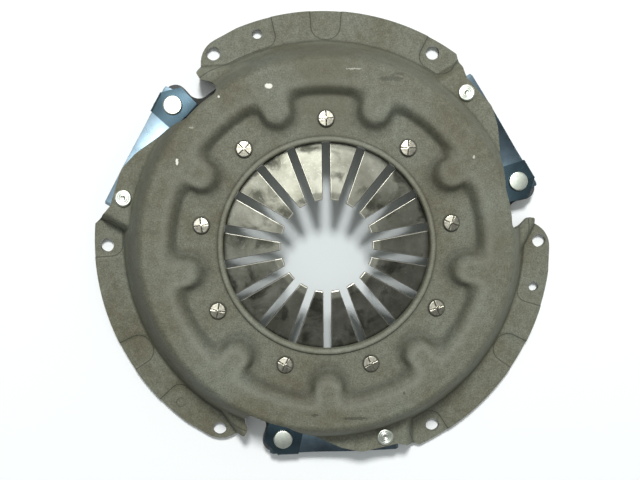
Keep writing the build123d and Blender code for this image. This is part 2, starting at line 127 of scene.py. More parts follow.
# The diaphragm spring
FULCRUM_R = 86.4
RIVET_R = 79.988
SPRING_R = 108.0
TIP_R = 29.0
TIP_BEND_R = 34.0
TIP_ROUND = 0.7
SPRING_Z = 27.368           # middle of its thickness, over the fulcrum
CONE = np.radians(5.7)
SPRING_T = 3.0
FINGERS = 18
FINGER_TURN = 360 / FINGERS
SLOT_W = 4.9
SLOT_END_R = 6.0
SPRING_EDGE = (0.4, 0.02)   # rounding of its edges, on a finger and next to the ring
GLINT_W = 0.45               # width of the painted highlight on a finger's edge, and the radius where it ends
GLINT_STOP_R = 76.0

# Straps and rivets
LUG_R = 134.2
LUG_ANGLE = 17.3
STRAP_COVER_ANGLE = 46.6
STRAP_MID = (LUG_ANGLE + STRAP_COVER_ANGLE) / 2
STRAP_HALF_TURN = np.radians(STRAP_COVER_ANGLE - LUG_ANGLE) / 2
STRAP_HALF = LUG_R * np.sin(STRAP_HALF_TURN)
STRAP_CHORD_R = LUG_R * np.cos(STRAP_HALF_TURN)
STRAP_W = 20.5
STRAP_T = 0.9
STRAP_LEAVES = 3
STRAP_OVERHANG = 9.3
STRAP_CHAMFER = 0.5
STRAP_EDGE = 0.12           # rounding of a leaf's edges
STRAP_FLAT = 14.5
LEAF_STAGGER = 0.7
LUG_TOP = 8.5
STRAP_RISE = 3.3
CLIP_TOP = 12.2
CLIP_T = 1.0
CLIP_FOLD_AT = 10.6         # from the lug's rivet in to the start of the fold
CLIP_LEG = (0.0, 11.2)      # the leg's two sides, across from the rivet
CLIP_FLOOR = 8.1            # middle of the leg, over the plate's low step
CLIP_RISE = -21.9
CLIP_HOOK = 27.8            # middle of the hook, over the spring's edge
CLIP_HOOK_OUT = -28.7

# Chips and dark marks on the crest: radius, angle, reach in metres, how much narrower along X, Y and Z,
# and strength
CHIPS = (
    (105.9, 109.6, 0.0013, (0.66, 1.0, 0.0), 0.95),
    (107.0, 150.0, 0.0010, (1.5, 0.62, 0.0), 0.9),
    (114.6, 125.4, 0.0006, (1.0, 1.0, 0.0), 0.8),
    (107.6, 30.9, 0.0008, (1.3, 0.8, 0.0), 0.5),
    (111.5, 81.1, 0.0006, (0.14, 2.2, 0.0), 0.4),
    (111.9, 138.3, 0.0012, (1.0, 2.0, 0.0), 0.25),
)
DIRT_MARKS = (
    (111.6, 68.6, 0.0020, (0.30, 1.6, 0.0), 0.4),
    (116.3, 67.0, 0.0014, (0.42, 1.6, 0.0), 0.4),
    (113.6, 68.7, 0.0012, (1.0, 1.0, 0.0), 0.3),
    (111.0, 278.7, 0.0024, (0.34, 2.6, 0.0), 0.5),
    (107.6, 265.5, 0.0013, (0.8, 1.5, 0.0), 0.5),
    (105.5, 297.1, 0.0007, (1.0, 1.0, 0.0), 0.6),
)
# How far a noise pulls their outlines, in metres
CHIP_RAGGED = 0.0016
DIRT_RAGGED = 0.0022
# Browner patches of the phosphate, and painted shade on the floor below the crest near 90 degrees, at 76
# and 93 mm: radius, angle, reach in metres
BROWN_AND_SHADED_PATCHES = (
    (93.0, 92.0, 0.020),
    (104.0, 2.0, 0.014),
    (76.0, 88.0, 0.018),
    (139.0, 72.0, 0.014),
    (124.0, 92.0, 0.022),
    (141.0, 96.0, 0.014),
)
QUARTER_TURN = np.radians([0.0, 22.5, 45.0, 67.5, 90.0])


# Shapes


def polar(radius, angle):
    """X and Y of points at radii and angles about the axis: radius times cosine, and times sine."""
    turn = np.radians(angle)
    return radius * np.cos(turn), radius * np.sin(turn)


def rotated(x, y, turn):
    """X and Y turned anticlockwise about the axis by radians."""
    c, s = np.cos(turn), np.sin(turn)
    return x * c - y * s, x * s + y * c


def soft_step(t):
    """0 to 1 with level ends: three times the square less twice the cube."""
    t = np.clip(t, 0, 1)
    return t * t * (3 - 2 * t)


def soft_min(a, b, width):
    """The lower of a and b, rounded where they differ by less than a width: less the square of what
    is missing to that width, over four widths."""
    missing = np.maximum(width - np.abs(a - b), 0)
    return np.minimum(a, b) - missing * missing / (4 * width)


def soft_max(a, b, width):
    """The higher of a and b, rounded in the same way."""
    return -soft_min(-a, -b, width)


def wrapped(angle, middle, period=SECTOR):
    """Angle measured from a feature's middle that comes again every period."""
    return (angle - middle + period / 2) % period - period / 2


def grid_faces(rows, columns, close_rows=False, close_columns=False):
    """Quads between neighbouring points of a grid, as an array of point numbers."""
    number = np.arange(rows * columns).reshape(rows, columns)
    if close_rows:
        number = np.vstack([number, number[:1]])
    if close_columns:
        number = np.hstack([number, number[:, :1]])
    corners = (number[:-1, :-1], number[1:, :-1], number[1:, 1:], number[:-1, 1:])
    return np.stack(corners, axis=-1).reshape(-1, 4)


def make_mesh(name, points, faces):
    """A closed mesh from points in millimetres, with its doubles merged and its faces turned outwards."""
    mesh = bpy.data.meshes.new(name)
    corners = [list(map(int, face)) for face in faces]
    mesh.from_pydata((np.reshape(points, (-1, 3)) * MM).tolist(), [], corners)
    tidy_mesh(mesh)
    return mesh


def tidy_mesh(mesh, flat_angle=None):
    """Merges doubles, joins flat facets where asked, turns the faces outwards."""
    shape = bmesh.new()
    shape.from_mesh(mesh)
    bmesh.ops.remove_doubles(shape, verts=shape.verts, dist=SAME_SPOT)
    if flat_angle is not None:
        bmesh.ops.dissolve_limit(
            shape, angle_limit=np.radians(flat_angle), verts=shape.verts, edges=shape.edges
        )
    bmesh.ops.recalc_face_normals(shape, faces=shape.faces)
    shape.to_mesh(mesh)
    shape.free()


def spots_of(mesh):
    """X, Y and Z of a mesh's points in millimetres."""
    spots = np.empty(len(mesh.vertices) * 3)
    mesh.vertices.foreach_get("co", spots)
    return spots.reshape(-1, 3).T / MM


def write_layer(mesh, name, values):
    """Stores one number for each point, for a material to read."""
    layer = mesh.attributes.new(name, "FLOAT", "POINT")
    layer.data.foreach_set("value", values)


def add_object(name, data):
    """An object in the scene for a mesh, a lamp or a camera."""
    made = bpy.data.objects.new(name, data)
    bpy.context.scene.collection.objects.link(made)
    return made


def place_piece(name, mesh, material, crease=35.0):
    """An object for a mesh, smooth up to the crease angle, with its material."""
    piece = add_object(name, mesh)
    mesh.polygons.foreach_set("use_smooth", np.ones(len(mesh.polygons), bool))
    mesh.set_sharp_from_angle(angle=np.radians(crease))
    mesh.materials.clear()
    mesh.materials.append(material)
    return piece


def swept(loops):
    """Closed section loops, one per station, joined by quads and closed by a flat face at each end."""
    loops = np.asarray(loops, float)
    stations, around = loops.shape[:2]
    faces = grid_faces(stations, around, close_columns=True).tolist()
    faces.append(list(range(around)))
    faces.append(list(range((stations - 1) * around, stations * around)))
    return loops.reshape(-1, 3), faces


def rounded_section(half_width, half_height, bend):
    """Offsets across and up of a rectangle, anticlockwise, each corner a quarter circle of five points."""
    corners = ((1, 1, 0), (-1, 1, 90), (-1, -1, 180), (1, -1, 270))
    across, up = [], []
    for side, top, start in corners:
        turn = QUARTER_TURN + np.radians(start)
        across.append(side * (half_width - bend) + bend * np.cos(turn))
        up.append(top * (half_height - bend) + bend * np.sin(turn))
    return np.concatenate(across), np.concatenate(up)


# The cover: its top and its underside are heights over the plan, and the blank's outline trims both


def crest_share(r, a, inset):
    """How far up the slope from the floor to the crest and its tongues: 0 at its foot, 1 at its head.
    Foot and head are lines, each a circle that runs softly into capsules along the tongues, and the
    share is the distance past the foot over that distance and the one still to go to the head."""
    across = np.radians(wrapped(a, TONGUE_ANGLE, 360 / TONGUES))
    along, aside = r * np.cos(across), np.abs(r * np.sin(across))
    edges = []
    for (half, tip), ring in ((TONGUE_FOOT, CREST_FOOT_R), (TONGUE_HEAD, CREST_HEAD_R)):
        half, tip, ring = half - inset, tip + inset, ring + inset
        middle = tip + half
        capsule = np.hypot(np.minimum(along - middle, 0), aside) - half
        edges.append(soft_min(capsule, ring - r, CREST_BLEND))
    foot, head = edges
    return -foot / (head - foot)


def tongue_part(r):
    """1 where the slope belongs to a tongue, 0 where it belongs to the ring: a soft step from 2 mm
    outside the ring's foot to 4 mm inside it."""
    return soft_step((CREST_FOOT_R + 2 - r) / 6)


def crest_rise(r, share):
    """Height of the crest's slope: around the ring halfway between a parabola that is steep at its
    foot and a soft step, and on the tongues a soft step near their heads."""
    start, length = RING_SLOPE
    t = np.clip((share - start) / length, 0, 1)
    ring = (t * (2 - t) + soft_step(t)) / 2
    start, length = TONGUE_SLOPE
    tongue = soft_step((share - start) / length)
    part = tongue_part(r)
    return CREST_RISE * (tongue * part + ring * (1 - part))


def ledge_height(r, a, base, top, inset):
    """A plateau between two drafted sides, the step beside the bolt hole and the one at the far end:
    the softly lower of its top and a slope that climbs with the distance from the nearer side's foot."""
    mid = (EAR_IN[1] + END_IN[1]) / 2
    x, y = polar(r, mid + wrapped(a, mid))
    inward = []
    for outer, inner, side in ((EAR_OUT, EAR_IN, 1), (END_OUT, END_IN, -1)):
        out, back = np.array(polar(*outer)), np.array(polar(*inner))
        along = (out - back) / np.hypot(*(out - back))
        inward.append(side * ((y - back[1]) * along[0] - (x - back[0]) * along[1]) - inset)
    climb = np.tan(np.radians(90 - LEDGE_DRAFT))
    return soft_min(base + climb * soft_min(*inward, LEDGE_CORNER), top, LEDGE_EDGE)


def pad_edge(r, a):
    """Distance to the edge of the nearest flat contact pad of the flange, negative inside it. A pad is
    open outwards, and its corners are arcs: the distance from the arcs' centres less their radius."""
    nearest = np.full_like(r, np.inf)
    for start, stop, bend in PADS:
        half = np.radians(stop - start) / 2
        aside = (np.abs(np.radians(wrapped(a, (start + stop) / 2))) - half) * r + bend
        inward = PAD_R - r + bend
        edge = np.hypot(np.maximum(aside, 0), np.maximum(inward, 0)) - bend
        nearest = np.minimum(nearest, edge + np.minimum(np.maximum(aside, inward), 0))
    return nearest


def sheet_height(r, a, under=0):
    """Height of the sheet's top, or of its underside, which lies a sheet's thickness behind it: the
    softly lower of the crown and the wall, then the softly higher of that, the flange and the ledges,
    and on top of it around the mouth a bead with rounded edges."""
    drop = under * SHEET
    wall_in, crest_in, ledge_in = (
        under * SHEET * np.tan(np.radians(turn)) for turn in (WALL_TURN, CREST_TURN, LEDGE_TURN)
    )
    crown = FLOOR_TOP - drop + crest_rise(r, crest_share(r, a, crest_in))
    wall = FLOOR_TOP + CREST_RISE - drop - WALL_SLOPE * (r - SHOULDER_R + wall_in)
    flange = SHEET + PAD_RISE - drop - PAD_RISE * soft_step(0.5 - pad_edge(r, a) / PAD_STEP_W)
    ledge = ledge_height(r, a, SHEET - drop, LEDGE_TOP - drop, ledge_in)
    height = soft_min(crown, wall, SHOULDER_BLEND[under])
    height = soft_max(height, flange, FLANGE_BLEND[under])
    height = soft_max(height, ledge, LEDGE_BLEND[under])
    bead = np.abs(r - MOUTH_R - BEAD_W / 2) - BEAD_W / 2 + BEAD_BEND
    bead = np.sqrt(np.clip(1 - (np.maximum(bead, 0) / BEAD_BEND) ** 2, 0, 1))
    return height + (1 - under) * (BEAD_H - BEAD_BEND * (1 - bead)) * (bead > 0)


def spaced(*runs):
    """Numbers from runs of (start, stop, count), each without its last."""
    return np.concatenate([np.linspace(*run, endpoint=False) for run in runs])


def rounded_corners(corners, bends):
    """A line through corners, each rounded by an arc that touches both of its sides: its centre is on
    their bisector, its radius over the sine of half their angle away."""
    line = [corners[0]]
    for before, corner, after, bend in zip(corners[:-2], corners[1:-1], corners[2:], bends):
        to_before = (before - corner) / np.hypot(*(before - corner))
        to_after = (after - corner) / np.hypot(*(after - corner))
        half = np.arccos(np.clip(to_before @ to_after, -1, 1)) / 2
        between = to_before + to_after
        middle = corner + between / np.hypot(*between) * bend / np.sin(half)
        first = corner + to_before * bend / np.tan(half) - middle
        last = corner + to_after * bend / np.tan(half) - middle
        sweep = np.arctan2(first[0] * last[1] - first[1] * last[0], first @ last)
        for turn in np.linspace(0, sweep, 8):
            line.append(middle + rotated(*first, turn))
    return line + [corners[-1]]


def prism(line, low, high):
    """Points and faces of an upright prism on a closed line in plan."""
    line = np.asarray(line)
    loops = [np.column_stack([line, np.full(len(line), z)]) for z in (low, high)]
    return swept(loops)


def joined(shapes):
    """Points and faces of several shapes as one."""
    points, faces, count = [], [], 0
    for shape_points, shape_faces in shapes:
        points.append(np.reshape(shape_points, (-1, 3)))
        faces += [[int(i) + count for i in face] for face in shape_faces]
        count += len(points[-1])
    return np.vstack(points), faces


def circle(radius, angle, diameter, sides=48):
    """Points of a hole's edge in plan."""
    x, y = polar(radius, angle)
    dx, dy = polar(diameter / 2, np.arange(sides) * 360 / sides)
    return np.column_stack([x + dx, y + dy])


def cut(piece, shape, operation):
    """Cuts a closed shape from a piece, or keeps only what lies inside it."""
    tool = add_object("tool", make_mesh("tool", *shape))
    boolean = piece.modifiers.new("cut", "BOOLEAN")
    boolean.object = tool
    boolean.operation = operation
    boolean.solver = "MANIFOLD"
    graph = bpy.context.evaluated_depsgraph_get()
    done = bpy.data.meshes.new_from_object(piece.evaluated_get(graph))
    piece.modifiers.clear()
    piece.data = done
    bpy.data.objects.remove(tool)


def near(distance, width):
    """1 at no distance, falling off as a bell: e to the minus square of distance over width."""
    return np.exp(-(distance / width) ** 2)


def paint_light_and_shade(cover):
    """Writes the painted shade of each point of the cover in its folds, its painted highlight on the crest's
    edge and the bead, and how far it is from the edge of a contact pad: 0.5 on the edge and a sixth more
    for each millimetre outside it."""
    x, y, z = spots_of(cover.data)
    r, turn = np.hypot(x, y), np.arctan2(y, x)
    a = np.degrees(turn)
    share = crest_share(r, a, 0)
    pad_top = SHEET + PAD_RISE
    wall = FLOOR_TOP + CREST_RISE - WALL_SLOPE * (r - SHOULDER_R)
    ledge = ledge_height(r, a, SHEET, LEDGE_TOP, 0)
    climb = wall - np.maximum(pad_top, ledge)
    part = tongue_part(r)
    # painted shade on the slope up to the crest
    ring_shade = np.where(share > 0, 0.6 * np.clip(1 - share / 1.3, 0, 1), 0.6 * near(share, 0.1))
    tongue_shade = 0.44 * near(share - 0.6, 0.42) + 0.26 * near(share - 0.1, 0.35)
    fold_shade = tongue_shade * part + ring_shade * (1 - part)
    # painted shade at the foot of the wall and on its face, darkest towards -X and +Y
    fold_shade = fold_shade + np.where(ledge > pad_top, 0.28, 0.5) * near(climb / WALL_SLOPE, 1.1)
    face = 0.20 - 0.15 * np.cos(turn) + 0.15 * np.sin(turn)
    fold_shade = fold_shade + face * np.clip(climb / 12, 0, 1) * soft_step((r - SHOULDER_R + 5) / 7)
    # painted shade at the foot of a ledge and in the groove outside the bead
    fold_shade = fold_shade + 0.5 * near(ledge - pad_top, 2.0) * (r > WALL_FOOT_R) * (ledge < LEDGE_TOP - 1)
    fold_shade = fold_shade + 0.5 * near(r - MOUTH_R - BEAD_W - 0.2, 0.5)
    # painted highlight on the crest's edge, strongest towards -Y, and painted reflection on the top of the
    # bead
    painted_sheen = 0.13 * near(share - 1.25, 0.35) * (r < CREST_HEAD_R + 8) * (1 - 0.6 * np.sin(turn))
    painted_sheen = painted_sheen + 0.25 * near(r - MOUTH_R - BEAD_W / 2, 1.0)
    outline = np.where(r > PAD_R - 1.5, np.clip(0.5 + pad_edge(r, a) / 6, 0, 1), 1.0)
    upper = z > sheet_height(r, a) - 0.6
    for name, values in (("pad_edge", outline), ("fold_shade", fold_shade), ("painted_sheen", painted_sheen)):
        write_layer(cover.data, name, np.clip(values, 0, 0.9) * upper)


def make_cover(material):
    """Top and underside as one closed grid, trimmed to the blank, with its bolt and dowel holes."""
    around = spaced(*[
        (start + turn, stop + turn, count)
        for turn in SECTORS
        for start, stop, count in ((-4, 8, 34), (8, 50, 64), (50, 58, 22), (58, 116, 88))
    ])
    # angles are close together at a ledge's sides, and radii on the bead, the crest's slope and the wall
    bead = np.array([0, 0.06, 0.22, 0.5, 0.95, 1.85, 2.75, 3.2, 3.48, 3.64, 3.7, 3.85, 4.4])
    top = np.concatenate([
        MOUTH_R + bead, spaced((71, 75, 3), (75, 101, 27), (101, 113, 8), (113, 137, 26), (137, 158, 13)),
    ])
    below = np.concatenate([
        [MOUTH_R], spaced((68, 75, 4), (75, 101, 15), (101, 112, 5), (112, 137, 15), (137, 158, 8)),
    ])[::-1]
    loops = []
    for radii, under in ((top, 0), (below, 1)):
        r, a = np.meshgrid(radii, around, indexing="ij")
        loops.append(np.stack([*polar(r, a), sheet_height(r, a, under)], axis=-1))
    points = np.vstack(loops)
    faces = grid_faces(len(top) + len(below), len(around), close_rows=True, close_columns=True)
    mesh = make_mesh("pressed_cover", points, faces)
    cover = place_piece("pressed_cover", mesh, material)
    line = []
    for turn in SECTORS:
        rim_turns = np.linspace(RIM_START - SECTOR, RIM_STOP, RIM_STEPS + 1)[:-1] + turn
        rim = np.column_stack(polar(FLANGE_R, rim_turns))
        ends = [np.array(polar(FLANGE_R, angle + turn)) for angle in (RIM_STOP, RIM_START)]
        corners = [np.array(polar(BOLT_R + out, angle + turn)) for angle, out, _ in OUTLINE]
        line += list(rim)
        line += rounded_corners([ends[0], *corners, ends[1]], [bend for _, _, bend in OUTLINE])[:-1]
    # the cutters reach well past the sheet
    cut(cover, prism(line, -5, 60), "INTERSECT")
    holes = [circle(BOLT_R, 60 * k, BOLT_D) for k in range(6)]
    holes += [circle(BOLT_R, DOWEL_ANGLE + turn, DOWEL_D) for turn in SECTORS]
    cut(cover, joined([prism(hole, -5, 30) for hole in holes]), "DIFFERENCE")
    cover.data.set_sharp_from_angle(angle=np.radians(COVER_CREASE))
    paint_light_and_shade(cover)
    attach(cover, "cover")
    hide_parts("clutch_cover")


# The spring: eighteen fingers inside the fulcrum and a ring outside it, in sectors that meet


def spring_middle(r):
    """Height of the middle of the spring's thickness: it rises from the fulcrum inwards with the
    tangent of the cone's angle, and is level at the tips."""
    return SPRING_Z + (FULCRUM_R - np.maximum(r, TIP_BEND_R)) * np.tan(CONE)


def finger_half_width(r):
    """From a finger's middle to its edge: the border to the next sector, radius times the tangent of
    half a sector's turn, less half a slot inside the rivets' circle, and the slot's round end there."""
    turn = np.radians(FINGER_TURN / 2)
    border = r * np.tan(turn)
    slot = border - SLOT_W / 2 / np.cos(turn)
    end_x, end_y = RIVET_R * np.cos(turn), RIVET_R * np.sin(turn)
    hole = end_y - np.sqrt(np.maximum(SLOT_END_R ** 2 - (r - end_x) ** 2, 0))
    inside = np.abs(r - end_x) < SLOT_END_R
    straight = np.where(r < end_x, slot, border)
    edge = np.where(inside & (hole < straight), hole, straight)
    return np.minimum(edge, border)


def sector_strip(stations, insets, bends, angle):
    """A strip along a radius: rounded sections of the spring's thickness, one at each station."""
    loops = []
    for r, inset, bend in zip(stations, insets, bends):
        half = finger_half_width(r) - inset
        across, up = rounded_section(half, SPRING_T / 2 - inset, bend)
        # two more points on top divide the edges with painted highlight from the oiled face
        inner = half - bend - 0.25
        across, up = np.insert(across, 5, [inner, -inner]), np.insert(up, 5, up[[4, 4]])
        x, y = rotated(r, across, np.radians(angle))
        loops.append(np.column_stack([x, y, spring_middle(r) + up / np.cos(CONE)]))
    return swept(loops)


def paint_edge_glint(mesh, angle):
    """Marks a painted highlight on the points of a finger's edges, and most of all on those of its tip."""
    x, y, _ = spots_of(mesh)
    r, across = rotated(x, y, -np.radians(angle))
    tip = r < TIP_R + TIP_ROUND + 0.02
    edge = (finger_half_width(r) - np.abs(across) < GLINT_W) | tip
    write_layer(mesh, "edge_glint", np.where(tip, 0.8, 0.35 * edge) * (r < GLINT_STOP_R))


def make_spring(material):
    """Each finger bends from the cover at the fulcrum to the release travel at its tip, and the
    ring outside the fulcrum follows the plate's ridge."""
    stations = np.concatenate([
        TIP_R + TIP_ROUND * (1 - np.cos(QUARTER_TURN)),
        [TIP_R + 1.0, 31.5, 33.2, 34.0, 34.8, 37, 42, 48, 54, 60, 66, 71],
        [72.6, 72.9, 73.3, 74, 75, 76.5, 78, 79.5, 81, 82.5, 83.5, 84.2, 84.7, 84.9, FULCRUM_R],
    ])
    insets = np.zeros_like(stations)
    insets[:len(QUARTER_TURN)] = TIP_ROUND * (1 - np.sin(QUARTER_TURN))
    bends = np.where(stations < 85, *SPRING_EDGE)
    for number in range(FINGERS):
        angle = FINGER_TURN * (number + 0.5) + 90
        points, faces = sector_strip(stations, insets, bends, angle)
        mesh = make_mesh("finger", points, faces)
        paint_edge_glint(mesh, angle)
        finger = place_piece(f"spring_finger_{number + 1}", mesh, material, crease=50)
        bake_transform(finger)
        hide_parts("diaphragm_spring")
        mesh = make_mesh("rim", *rim_sector(angle))
        outer = place_piece(f"spring_rim_{number + 1}", mesh, material, crease=50)
        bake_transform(outer)
        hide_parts("diaphragm_spring")


def rim_sector(angle):
    """A sector of the ring outside the fulcrum: a rectangle turned about the axis, with bevelled corners
    on the outside."""
    half = SPRING_T / 2 / np.cos(CONE)
    bevel = 0.5
    radii = np.array([FULCRUM_R, SPRING_R - bevel, SPRING_R, SPRING_R, SPRING_R - bevel, FULCRUM_R])
    offsets = np.array([half, half, half - bevel, bevel - half, -half, -half])
    turns = np.linspace(-FINGER_TURN / 2, FINGER_TURN / 2, 9)
    loops = []
    for turn in turns:
        x, y = polar(radii, angle + turn)
        # the fulcrum edge is straight across the sector, where the finger starts
        straight = np.cos(np.radians(turn))
        x[[0, -1]], y[[0, -1]] = x[[0, -1]] / straight, y[[0, -1]] / straight
        loops.append(np.column_stack([x, y, spring_middle(radii) + offsets]))
    return swept(loops)


# Straps


def strap_axes(turn):
    """Directions along and out of a strap, in plan."""
    mid = np.radians(STRAP_MID + turn)
    return np.array([np.sin(mid), -np.cos(mid)]), np.array([np.cos(mid), np.sin(mid)])


def make_leaf(letter, turn, level, material):
    """One leaf: a thin rounded section from the cover's rivet down to the lug, by a soft step in height
    between its two flat ends, with cropped corners."""
    knee = STRAP_HALF - STRAP_FLAT
    end = STRAP_HALF + STRAP_OVERHANG - level * LEAF_STAGGER
    at_end = np.array([
        end, end - STRAP_EDGE, end - STRAP_CHAMFER, end - STRAP_CHAMFER - STRAP_EDGE, knee + 3,
    ])
    stations = np.concatenate([-at_end, np.linspace(-knee - 1, knee + 1, 22), at_end[::-1]])
    low = LUG_TOP + (level + 0.5) * STRAP_T
    along, out = strap_axes(turn)
    loops = []
    for x in stations:
        height = low + STRAP_RISE * soft_step((knee + 1 - x) / (2 * knee + 2))
        half = STRAP_W / 2 - max(STRAP_CHAMFER - (end - abs(x)), 0)
        inset = STRAP_EDGE if abs(x) == end else 0
        across, up = rounded_section(half - inset, STRAP_T / 2 - inset, STRAP_EDGE)
        plan = np.outer(np.full_like(across, x), along) + np.outer(STRAP_CHORD_R + across, out)
        loops.append(np.column_stack([plan, height + up]))
    name = f"strap_{letter}_leaf_{level + 1}"
    leaf = place_piece(name, make_mesh(name, *swept(loops)), material, crease=40)
    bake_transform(leaf)
    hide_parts(f"drive_strap_{letter}_leaf_{level + 1}")


def make_clip(letter, turn, material):
    """A retracting clip: a flat five-sided plate on the lug, with a tab bent down on its outer edge and
    a coined lip inside, and a leg that folds down over the lug and rises behind the plate's ridge."""
    top, bottom, tab_foot = CLIP_TOP, CLIP_TOP - CLIP_T, CLIP_TOP - 3.2
    loops = []
    for x in (-12.25, -11.9, -6.0, 0.36, 0.42, 4.0, 8.0, 11.0, 11.3, 11.8, 12.35):
        outer = np.interp(x, (-12.1, 0.4, 12.4), (8.7, 11.8, 3.8))
        inner = np.interp(x, (11.3, 12.4), (-CLIP_FOLD_AT, 3.4))
        lip = 2.1 if x < CLIP_LEG[0] else 0.05
        # the tab hangs from the outer edge up to its corner, and past it the edge is plain
        bend, hollow, foot = (1.7, 0.7, tab_foot) if x < 0.4 else (0.2, 0.1, bottom + 0.1)
        centre = top - bend
        start = outer - bend
        section = [(start + bend * np.cos(t), centre + bend * np.sin(t)) for t in QUARTER_TURN]
        section += [
            (inner, top), (inner - 0.5 * lip, top - 0.085 * lip), (inner - lip, top - 0.35 * lip),
            (inner - lip, bottom), (start, bottom),
        ]
        section += [
            (start + hollow * np.sin(t), bottom - hollow * (1 - np.cos(t))) for t in QUARTER_TURN[1:]
        ]
        section += [(start + hollow, foot), (outer, foot)]
        loops.append([(x, out, z) for out, z in section])
    shapes = [swept(loops)]
    leg = [np.array(spot) for spot in (
        (-CLIP_FOLD_AT, 0.0), (-CLIP_FOLD_AT - 2.2, 0.0), (-CLIP_FOLD_AT - 2.2, CLIP_FLOOR - top),
        (CLIP_RISE, CLIP_FLOOR - top), (CLIP_RISE, CLIP_HOOK - top), (CLIP_HOOK_OUT, CLIP_HOOK - top),
    )]
    middle = np.array(rounded_corners(leg, (2.2, 1.2, 1.2, 1.2))) + (0, top - CLIP_T / 2)
    run = np.gradient(middle, axis=0)
    side = np.column_stack([-run[:, 1], run[:, 0]]) / np.hypot(*run.T)[:, None] * CLIP_T / 2
    outline = np.vstack([middle + side, (middle - side)[::-1]])
    shapes.append(swept([[(x, out, z) for out, z in outline] for x in CLIP_LEG]))
    points, faces = joined(shapes)
    out_way, along = np.radians(LUG_ANGLE + turn), np.radians(LUG_ANGLE + turn - 90)
    x, out, z = points.T
    out = out + LUG_R
    spots = np.column_stack([
        out * np.cos(out_way) + x * np.cos(along), out * np.sin(out_way) + x * np.sin(along), z,
    ])
    name = f"clip_{letter}"
    clip = place_piece(name, make_mesh(name, spots, faces), material, crease=30)
    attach(clip, "pressure_plate")
    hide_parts(f"retracting_clip_{letter}")


# Rivets: a profile turned about the rivet's axis, with what the staking punch left in its head


def turned(profile, spot, sides=48, spin=0.0, stake=None):
    """A closed profile of (radius, height) turned about an upright axis: radius times the cosine and
    sine of each turn, with the depth that stake gives taken from the head."""
    radii, heights = np.array(profile, float).T
    r, a = np.meshgrid(radii, np.arange(sides) * 360 / sides, indexing="ij")
    z = np.repeat(heights[:, None], sides, axis=1)
    if stake is not None:
        z = z - stake(*polar(r, a)) * (z > heights.max() - 0.6)
    x, y = polar(r, a + spin)
    points = np.stack([x + spot[0], y + spot[1], z], axis=-1)
    return points, grid_faces(len(radii), sides, close_columns=True)


def cross_stake(x, y):
    """Depth of four flat petals that fall away from the middle, parted by a thin cross: the fall times
    X and Y together, and V grooves along both axes that fade out in the middle."""
    fall, depth, half_width = 0.06, 0.35, 0.4
    aside = np.minimum(np.abs(x), np.abs(y))
    groove = depth * np.clip(1 - aside / half_width, 0, 1) * soft_step((np.hypot(x, y) - 0.5) / 0.8)
    return fall * (np.abs(x) + np.abs(y)) + groove


def make_fulcrum_rivets(material):
    """Nine shouldered rivets: foot under the lower ring, body, neck through the sheet and staked head."""
    foot, seat, under, top, head = 19.14, 21.74, FLOOR_TOP - SHEET, FLOOR_TOP, FLOOR_TOP + 2.4
    # the flat of the head has points enough to take the cross
    profile = [(r, head) for r in np.linspace(0, 4.6, 24)] + [
        (4.8, head - 0.08), (4.93, head - 0.22), (5.0, head - 0.42),
        (5.0, top + 0.25), (4.85, top), (3.25, top), (3.25, under), (3.9, under), (3.9, seat), (7.6, seat),
        (8.0, seat - 0.4), (8.0, foot + 0.4), (7.6, foot), (0, foot),
    ]
    spins = (2, 44, 8, 78, 62, 28, 20, 68, -3)
    shapes = [
        turned(profile, polar(RIVET_R, 90 + 40 * number), sides=96, spin=spin, stake=cross_stake)
        for number, spin in enumerate(spins)
    ]
    mesh = make_mesh("fulcrum_rivet_set", *joined(shapes))
    piece = place_piece("fulcrum_rivet_set", mesh, material, crease=50)
    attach(piece, "cover")
    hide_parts("fulcrum_rivets")


def make_strap_rivets(material):
    """Three tubular rivets through the ledges, with a hollow in the head, and three flat ones on the
    lugs."""
    tail, top = LEDGE_TOP - SHEET - STRAP_LEAVES * STRAP_T - 1.7, LEDGE_TOP + 2.0
    button = [
        (0, top - 0.6), (0.9, top - 0.6), (1.15, top - 0.5), (1.25, top - 0.12), (1.4, top), (2.5, top),
        (2.62, top - 0.07), (2.75, top), (3.6, top), (3.7, top - 0.05), (3.8, top), (4.7, top - 0.04),
        (5.05, top - 0.15), (5.28, top - 0.38), (5.38, top - 0.75), (5.4, top - 1.2),
        (5.35, LEDGE_TOP + 0.15), (5.2, LEDGE_TOP), (3.2, LEDGE_TOP), (3.2, tail + 1.7), (5.0, tail + 1.7),
        (5.2, tail + 1.5), (5.0, tail + 0.4), (4.4, tail), (0, tail),
    ]
    shapes = [turned(button, polar(LUG_R, STRAP_COVER_ANGLE + turn)) for turn in SECTORS]
    mesh = make_mesh("ledge_rivets", *joined(shapes))
    cover_side = place_piece("ledge_rivets", mesh, material, crease=40)
    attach(cover_side, "cover")
    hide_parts("strap_cover_rivets")
    head = CLIP_TOP + 1.7
    flat = [
        (0, head), (5.4, head), (5.75, head - 0.05), (6.05, head - 0.2), (6.25, head - 0.5),
        (6.3, head - 0.8), (6.3, CLIP_TOP + 0.15), (6.15, CLIP_TOP), (4.0, CLIP_TOP), (4.0, 4.7),
        (5.9, 4.7), (6.0, 4.6), (6.0, 3.3), (5.6, 2.9), (0, 2.9),
    ]
    shapes = [turned(flat, polar(LUG_R, LUG_ANGLE + turn), sides=64) for turn in SECTORS]
    mesh = make_mesh("lug_rivet_set", *joined(shapes))
    lug_side = place_piece("lug_rivet_set", mesh, material, crease=40)
    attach(lug_side, "pressure_plate")
    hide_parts("lug_rivets")


def carry_over(node, name, body, material, bevel, crease=35.0):
    """A merged copy of a solid whose shape is right, with its edges broken."""
    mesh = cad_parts[node].data.copy()
    tidy_mesh(mesh, flat_angle=0.5)
    piece = place_piece(name, mesh, material, crease)
    edges = piece.modifiers.new("edges", "BEVEL")
    edges.width = bevel * MM
    edges.segments = 2
    edges.limit_method = "ANGLE"
    edges.angle_limit = np.radians(crease)
    edges.harden_normals = True
    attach(piece, body)
    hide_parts(node)


# Materials


